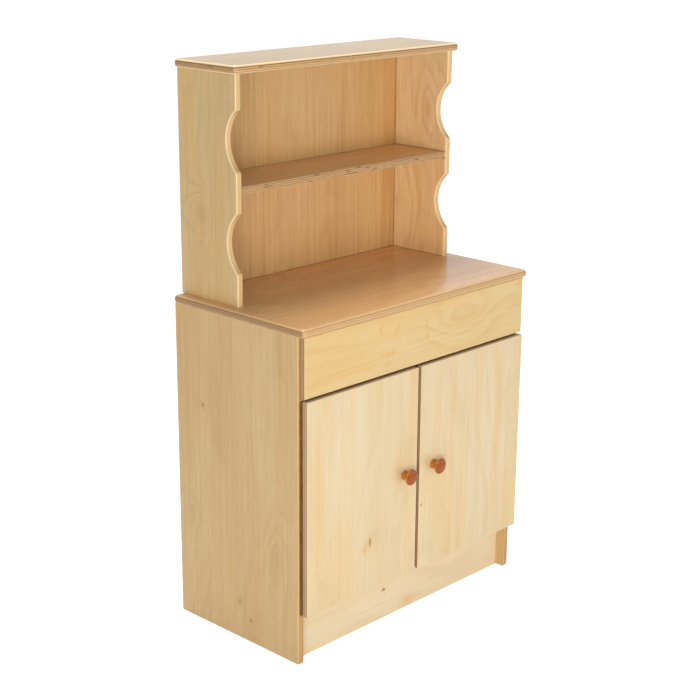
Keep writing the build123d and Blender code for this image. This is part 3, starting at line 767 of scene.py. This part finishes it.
def solidWoodMaterial(name, look):
    # axes: which of X, Y, Z runs across the grain, along it and into the piece
    material, tree, surface = newMaterial(name)
    where = texturePlace(tree)
    spot = dict(zip("XYZ", splitAxes(tree, where["Object"])))
    place = joinAxes(tree, *[spot[axis] for axis in look["axes"]])
    figure = useGroup(tree, veneerFigure, {
        "Place": place, "Seed": look["seed"], "Sway": look["sway"], "Ring Gap": look["ringGap"]})
    mottle = soften(tree, figure["Mottle"], *woodMask["mottle"])
    colour = blendColour(tree, mottle, look["light"], look["deep"])
    colour = stain(tree, colour, figure["Rings"], look["rings"], look["ring"])
    fibres = soften(tree, figure["Fibres"], *woodMask["fibres"])
    colour = stain(tree, colour, fibres, look["fibres"], look["ring"])
    colour = stain(tree, colour, figure["Flecks"], look["flecks"], look["dark"])
    if look.get("endTone"):
        facing = dict(zip("XYZ", splitAxes(tree, where["Normal"])))
        ends = calc(tree, "ABSOLUTE", facing[look["axes"][1]])
        pores = noise(tree, scaleVector(tree, place, look["poreCells"]), 3.0, 0.65)
        endShade = times(tree, soften(tree, ends, *woodMask["endGrain"]),
                         soften(tree, pores, *woodMask["pores"]))
        colour = blendColour(tree, endShade, colour, look["endTone"], mode="MULTIPLY")
    touch = addHandling(tree, place, look)
    addBump(tree, surface, figure["Fibres"], look)
    feedAll(tree, surface.inputs, {
        "Base Color": colour,
        "Roughness": touch["Roughness"],
        "Coat Weight": look["coat"],
        "Coat Roughness": look["coatRoughness"],
        "Specular IOR Level": look["specular"],
    })
    return material


birchLook = {
    "axes": "ZXY", "seed": 20.0, "ringGap": 0.004, "sway": 0.03, "rings": 0.4, "fibres": 0.3, "flecks": 0.25,
    "light": rgb(226, 198, 152), "deep": rgb(212, 178, 130), "ring": rgb(184, 142, 94),
    "dark": rgb(120, 80, 46), "sheen": 0.55, "cloud": 0.12, "rubs": 0.5, "coat": 0.05,
    "coatRoughness": 0.25, "specular": 0.4, "relief": 0.4, "bumpHeight": 0.0002,
}
# darker than the other birch: partly an aged birch and partly painted shade that deepens the gap above the
# doors
railLook = {**birchLook, "light": rgb(212, 174, 122), "deep": rgb(196, 154, 102), "ring": rgb(164, 116, 66)}
dowelLook = {**birchLook, "seed": 23.0, "light": rgb(214, 172, 128), "deep": rgb(202, 158, 114)}
knobLook = {
    **birchLook, "axes": "ZYX", "seed": 24.0, "ringGap": 0.0024, "sway": 0.02, "rings": 0.45, "fibres": 0.35,
    "light": rgb(214, 148, 68), "deep": rgb(194, 118, 44), "ring": rgb(156, 80, 22), "dark": rgb(86, 38, 6),
    "endTone": rgb(208, 152, 96), "poreCells": 900.0, "sheen": 0.34, "coat": 0.04, "specular": 0.2,
}
paint(solidWoodMaterial("railBirch", railLook), "front_rail", "rear_rail")
paint(solidWoodMaterial("cleatBirch", {**birchLook, "axes": "XYZ", "seed": 21.0}), *pairOf("top_cleat"))
paint(solidWoodMaterial("blockBirch", {**birchLook, "axes": "XZY", "seed": 22.0}), "toe_kick_blocks")
paint(solidWoodMaterial("dowelBeech", dowelLook), "rail_dowels", "hutch_top_dowels")
paint(solidWoodMaterial("knobWood", knobLook), *pairOf("knob"))
print("solid wood done")


# metal and plastic

def metalMaterial(name, look):
    material, tree, surface = newMaterial(name)
    spot = texturePlace(tree)["Object"]
    cloud = noise(tree, scaleVector(tree, spot, look["cloudCells"]), 4.0, 0.6)
    axes = zip(splitAxes(tree, spot), look["drawnCells"])
    drawn = noise(tree, joinAxes(tree, *[times(tree, value, cells) for value, cells in axes]), 3.0)
    colour = blendColour(tree, soften(tree, cloud, *look["cloudMask"]), look["colour"], look["shade"])
    wear = soften(tree, drawn, *look["wearMask"], 0.0, look["wear"])
    colour = blendColour(tree, wear, colour, look["worn"])
    leastRoughness = look["roughness"] - look["roughnessSpread"] / 2
    addBump(tree, surface, drawn, look)
    feedAll(tree, surface.inputs, {
        "Base Color": colour,
        "Roughness": calc(tree, "MULTIPLY_ADD", cloud, look["roughnessSpread"], leastRoughness, clamp=True),
        "Metallic": look["metal"],
    })
    return material


bronzeLook = {   # cells per metre; the drawn marks run along the axis with the fewest
    "colour": rgb(126, 80, 30), "shade": rgb(98, 60, 20), "worn": rgb(186, 134, 70), "wear": 0.4,
    "roughness": 0.42, "roughnessSpread": 0.2, "metal": 0.8,
    "cloudCells": 120.0, "drawnCells": (700, 700, 40),
    "cloudMask": (0.3, 0.7), "wearMask": (0.62, 0.8), "relief": 0.2, "bumpHeight": 0.0001,
}
zincLook = {
    **bronzeLook, "colour": rgb(176, 174, 168), "shade": rgb(140, 138, 132), "worn": rgb(206, 204, 198),
    "wear": 0.5, "roughness": 0.34, "metal": 1.0, "drawnCells": (500, 500, 500),
}
pinLook = {**zincLook, "colour": rgb(128, 120, 110), "drawnCells": (900, 900, 30)}
poleLook = {**zincLook, "colour": rgb(110, 108, 106), "shade": rgb(84, 82, 80)}
paint(metalMaterial("hingeBronze", bronzeLook), *pairOf("hinge_frame_leaf"), *pairOf("hinge_door_leaf"))
paint(metalMaterial("pinSteel", pinLook), *pairOf("hinge_pin"))
paint(metalMaterial("strikeSteel", {**zincLook, "drawnCells": (40, 500, 500)}), *pairOf("strike_plate"))
paint(metalMaterial("poleSteel", poleLook), *pairOf("catch_magnet"))


def plasticMaterial(name, look):
    material, tree, surface = newMaterial(name)
    spot = texturePlace(tree)["Object"]
    touch = addHandling(tree, spot, look)
    addBump(tree, surface, noise(tree, scaleVector(tree, spot, look["pebbleCells"]), 1.0), look)
    feedAll(tree, surface.inputs, {
        "Base Color": blendColour(tree, touch["Rub"], look["colour"], look["scuff"]),
        "Roughness": touch["Roughness"],
    })
    return material


catchLook = {
    "colour": rgb(226, 218, 202), "scuff": rgb(204, 194, 176), "sheen": 0.5, "cloud": 0.1, "rubs": 0.6,
    "pebbleCells": 2400.0, "relief": 0.25, "bumpHeight": 0.0001,
}
paint(plasticMaterial("catchPlastic", catchLook), *pairOf("catch_housing"))
print("metal and plastic done")


# screws

screwLook = {   # shares of the head's radius unless the note says otherwise
    "recessReach": 0.60,   # half the length of the driver's cross
    "recessHalf": 0.15,    # half the width of its arms
    "recessDepth": 0.42,
    "recessBrim": 0.02,    # depth of the cross's upper edge
    "recessFloor": 0.55,   # size of the cross at its floor, as a share of its brim
    "domedFrom": 0.0003,   # metres; a head that stands higher than this is domed
    # radius, and depth as a share of the head's height
    "dome": ((0.72, 0.0), (0.90, 0.14), (0.98, 0.36), (1.0, 0.6), (1.0, 1.0)),
    "rim": 0.07,           # roll of a flat head's rim
    "rimSteps": ((2.0, 0.0), (0.9, 0.25), (0.7, 0.7)),   # inset and depth, in rolls
    "tip": 1.3,            # length of the pointed end, in shank radii
    "point": 0.12,         # radius of its blunt point, in shank radii
    "turn": 0.73,          # radians from one screw to the next, so that each stops at its own angle
    "sharpAngle": 32,      # degrees; flatter edges are shaded smooth
    "headZone": 0.98,      # CAD points this near the widest radius are on the head
    "tipZone": 0.9,        # and points beyond this share of the length are on the tip
    "weld": 1e-6,          # metres
}


def screwPlaces(nodeName, look):
    # the separate screws of a CAD node, each as a list of its corner points
    mesh = bmesh.new()
    mesh.from_mesh(nodes[nodeName].data)
    bmesh.ops.remove_doubles(mesh, verts=mesh.verts, dist=look["weld"])
    mesh.verts.index_update()
    seen = set()
    screws = []
    for first in mesh.verts:
        if first.index in seen:
            continue
        seen.add(first.index)
        waiting = [first]
        points = []
        while waiting:
            vert = waiting.pop()
            points.append(vert.co.copy())
            for edge in vert.link_edges:
                other = edge.other_vert(vert)
                if other.index not in seen:
                    seen.add(other.index)
                    waiting.append(other)
        screws.append(points)
    mesh.free()
    return screws


def measureScrew(points, look):
    # head centre, direction into the wood, length, head and shank radius, and how high the head stands
    low = Vector([min(point[i] for point in points) for i in range(3)])
    high = Vector([max(point[i] for point in points) for i in range(3)])
    axis = max(range(3), key=lambda i: high[i] - low[i])
    middle = (low + high) / 2
    length = high[axis] - low[axis]

    def radius(point):
        return math.hypot(*[point[i] - middle[i] for i in range(3) if i != axis])

    widest = max(radius(point) for point in points)
    heads = [point[axis] for point in points if radius(point) > widest * look["headZone"]]
    headFirst = sum(heads) / len(heads) < middle[axis]
    start = low[axis] if headFirst else high[axis]
    tips = [radius(point) for point in points if abs(point[axis] - start) > length * look["tipZone"]]
    direction = Vector((0, 0, 0))
    direction[axis] = 1 if headFirst else -1
    centre = middle.copy()
    centre[axis] = start
    return centre, direction, length, widest, max(tips), max(abs(level - start) for level in heads)


def crossOutline(reach, half):
    # the driver's cross, two points for each of its twelve sides, anticlockwise
    arm = [(reach, -half), (reach, half), (half, half)]
    quarterTurns = [(1, 0), (0, 1), (-1, 0), (0, -1)]   # cosine and sine
    corners = []
    for cosine, sine in quarterTurns:
        corners += [(x * cosine - y * sine, x * sine + y * cosine) for x, y in arm]
    outline = []
    for (x, y), (nextX, nextY) in zip(corners, corners[1:] + corners[:1]):
        outline += [(x, y), ((x + nextX) / 2, (y + nextY) / 2)]
    return outline


def screwRings(look, length, head, shank, raised):
    # (outline or radius, depth) from the recess floor over the head and down to the tip
    reach = head * look["recessReach"]
    half = head * look["recessHalf"]
    floor = look["recessFloor"]
    rings = [(crossOutline(reach * floor, half * floor), head * look["recessDepth"]),
             (crossOutline(reach, half), head * look["recessBrim"])]
    if raised > look["domedFrom"]:
        rings += [(head * wide, raised * down) for wide, down in look["dome"]] + [(shank, raised)]
    else:
        roll = head * look["rim"]
        rings += [(head - roll * inset, roll * down) for inset, down in look["rimSteps"]]
        rings.append((shank, head - shank))
    return rings + [(shank, length - shank * look["tip"]), (shank * look["point"], length)]


def makeScrews(nodeName, look, body, material):
    shape = bmesh.new()
    angles = [math.atan2(y, x) for x, y in crossOutline(look["recessReach"], look["recessHalf"])]
    for count, points in enumerate(screwPlaces(nodeName, look)):
        centre, direction, length, head, shank, raised = measureScrew(points, look)
        sideways = direction.orthogonal().normalized()
        upright = direction.cross(sideways)
        turn = look["turn"] * (count + len(nodeName))
        cosine = math.cos(turn)
        sine = math.sin(turn)
        loops = []
        for outline, depth in screwRings(look, length, head, shank, raised):
            if not isinstance(outline, list):
                outline = [(outline * math.cos(angle), outline * math.sin(angle)) for angle in angles]
            turned = [(x * cosine - y * sine, x * sine + y * cosine) for x, y in outline]
            spots = [centre + sideways * x + upright * y + direction * depth for x, y in turned]
            loops.append([shape.verts.new(spot) for spot in spots])
        skin(shape, loops)
    piece = newPiece(shape, nodeName + "_driven", material)
    piece.data.set_sharp_from_angle(angle=math.radians(look["sharpAngle"]))
    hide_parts(nodeName)
    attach(piece, body)


bronzedScrew = metalMaterial("bronzedScrew", {**bronzeLook, "drawnCells": (400, 400, 400)})
zincScrew = metalMaterial("zincScrew", zincLook)
for side in ("left", "right"):
    makeScrews(side + "_hinge_frame_screws", screwLook, "cabinet", bronzedScrew)
    makeScrews(side + "_hinge_door_screws", screwLook, side + "_door", bronzedScrew)
    makeScrews(side + "_knob_screw", screwLook, side + "_door", zincScrew)
    makeScrews(side + "_strike_screw", screwLook, side + "_door", zincScrew)
for name in ("apron", "cleat", "countertop", "hutch", "cabinet_back", "hutch_back", "catch"):
    makeScrews(name + "_screws", screwLook, "cabinet", zincScrew)
print("screws done")


# camera, floor and light

cameraLook = {
    "place": (-2.0580, -1.93263, 1.3615),
    "turn": -46.408,   # degrees about the upright
    "tilt": 73.102,    # degrees up from looking straight down
    "roll": 0.469,
    "lens": 79.02,     # millimetres
    "film": 36,        # width in millimetres
    "near": 0.05,
    "far": 200,
}
stageLook = {
    "floorSize": 60.0, "floorDrop": 0.0005, "floorShade": 0.80, "floorGlow": 0.80, "floorRoughness": 0.9,
    "floorSpecular": 0.1, "worldLight": 0.33, "backdrop": 1.0,
}
lampLook = [
    {"name": "lowFrontSoftbox", "place": (0.8, -5.2, 0.3), "aim": (0, 0, 0.55), "size": 2.5, "watts": 46},
    {"name": "leftSoftbox", "place": (-3.8, -3.5, 0.5), "aim": (0, 0, 0.55), "size": 2.2, "watts": 186},
    {"name": "overheadSoftbox", "place": (0.1, 0.5, 3.4), "aim": (0, 0.1, 0.6), "size": 0.9, "watts": 52},
]


def makeCamera(look):
    data = bpy.data.cameras.new("viewCamera")
    data.lens = look["lens"]
    data.sensor_width = look["film"]
    data.clip_start = look["near"]
    data.clip_end = look["far"]
    camera = newObject("viewCamera", data)
    turn = Matrix.Rotation(math.radians(look["turn"]), 4, "Z")
    tilt = Matrix.Rotation(math.radians(look["tilt"]), 4, "X")
    roll = Matrix.Rotation(math.radians(look["roll"]), 4, "Z")
    camera.matrix_world = Matrix.Translation(look["place"]) @ turn @ tilt @ roll
    scene.camera = camera


def seenDirectly(tree):
    # 1 for what the camera sees, also in a reflection or through a clear piece
    rays = tree.nodes.new("ShaderNodeLightPath")
    seen = calc(tree, "MAXIMUM", rays.outputs["Is Camera Ray"], rays.outputs["Is Glossy Ray"])
    return calc(tree, "MAXIMUM", seen, rays.outputs["Is Transmission Ray"])


def pickShader(tree, factor, first, second):
    pick = tree.nodes.new("ShaderNodeMixShader")
    feedAll(tree, pick.inputs, {0: factor, 1: first, 2: second})
    return pick.outputs[0]


def makeFloor(look):
    half = look["floorSize"] / 2
    mesh = bpy.data.meshes.new("studioFloor")
    corners = [(-half, -half, 0), (half, -half, 0), (half, half, 0), (-half, half, 0)]
    mesh.from_pydata(corners, [], [(0, 1, 2, 3)])
    floor = newObject("studioFloor", mesh)
    floor.location.z = -look["floorDrop"]
    material, tree, surface = newMaterial("studioFloor")
    shade = look["floorShade"]
    feedAll(tree, surface.inputs, {
        "Base Color": (shade, shade, shade, 1),
        "Roughness": look["floorRoughness"],
        "Specular IOR Level": look["floorSpecular"],
    })
    glow = tree.nodes.new("ShaderNodeEmission")
    glow.inputs["Strength"].default_value = look["floorGlow"]
    dark = tree.nodes.new("ShaderNodeEmission")
    dark.inputs["Strength"].default_value = 0.0
    total = tree.nodes.new("ShaderNodeAddShader")
    feed(tree, surface.outputs[0], total.inputs[0])
    feed(tree, pickShader(tree, seenDirectly(tree), dark.outputs[0], glow.outputs[0]), total.inputs[1])
    feed(tree, total.outputs[0], tree.nodes["Material Output"].inputs["Surface"])
    mesh.materials.append(material)


def makeWorld(look):
    world = bpy.data.worlds.new("studioWorld")
    world.use_nodes = True
    scene.world = world
    tree = world.node_tree
    tree.nodes.clear()
    light = tree.nodes.new("ShaderNodeBackground")
    backdrop = tree.nodes.new("ShaderNodeBackground")
    for sky, strength in ((light, look["worldLight"]), (backdrop, look["backdrop"])):
        sky.inputs["Color"].default_value = (1, 1, 1, 1)
        sky.inputs["Strength"].default_value = strength
    output = tree.nodes.new("ShaderNodeOutputWorld")
    sight = pickShader(tree, seenDirectly(tree), light.outputs[0], backdrop.outputs[0])
    feed(tree, sight, output.inputs["Surface"])


def makeLamps(looks):
    for look in looks:
        data = bpy.data.lights.new(look["name"], "AREA")
        data.energy = look["watts"]
        data.size = look["size"]
        lamp = newObject(look["name"], data)
        lamp.location = look["place"]
        away = Vector(look["place"]) - Vector(look["aim"])
        lamp.rotation_euler = away.to_track_quat("Z", "Y").to_euler()


makeCamera(cameraLook)
makeFloor(stageLook)
makeWorld(stageLook)
makeLamps(lampLook)
scene.view_settings.view_transform = "Standard"
print("stage done")
